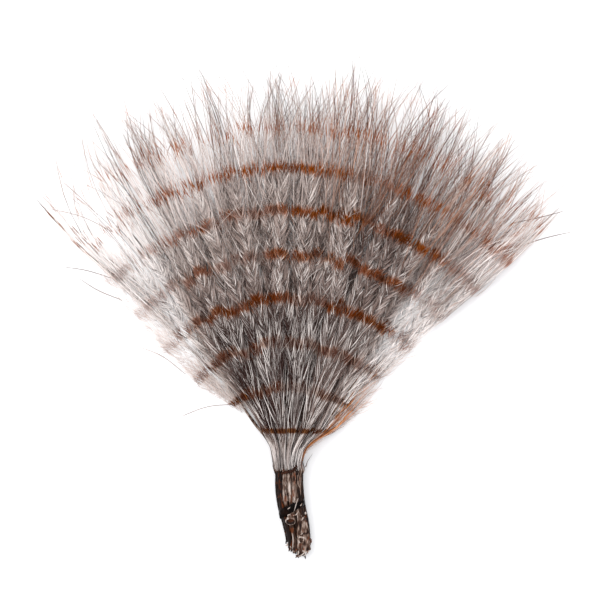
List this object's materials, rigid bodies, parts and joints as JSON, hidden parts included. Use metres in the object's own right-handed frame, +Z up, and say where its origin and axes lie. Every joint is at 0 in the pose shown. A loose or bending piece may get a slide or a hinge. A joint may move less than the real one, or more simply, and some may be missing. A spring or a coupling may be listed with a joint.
{
  "type": "fanned bunch of marabou feathers",
  "caption": "Flat fan of fluffy barred marabou feathers, gathered at the quills by a dark band, with the cut quill ends showing below it.",
  "frame": {"origin": "on the resting surface, at the flat underside of the binding band", "axes": "+X across the fan, +Y from the cut quills towards the tips, +Z up from the surface the fan lies on"},
  "size_m": [0.1602, 0.151, 0.0098],
  "materials": {
    "plume": "soft grey-taupe down with rust-brown bars, paler and see-through towards the tips",
    "quill": "dry horn quill, pale in front and dark brown at the sides, flaking",
    "binding": "glossy black-brown band of hardened binding"
  },
  "bodies": {
    "root": {"feather_01": "plume", "feather_02": "plume", "feather_03": "plume", "feather_04": "plume", "feather_05": "plume", "feather_06": "plume", "feather_07": "plume", "feather_08": "plume", "feather_09": "plume", "feather_10": "plume", "feather_11": "plume", "feather_12": "plume", "feather_13": "plume", "feather_14": "plume", "feather_15": "plume", "feather_16": "plume", "binding_band": "binding"}
  },
  "joints": []
}
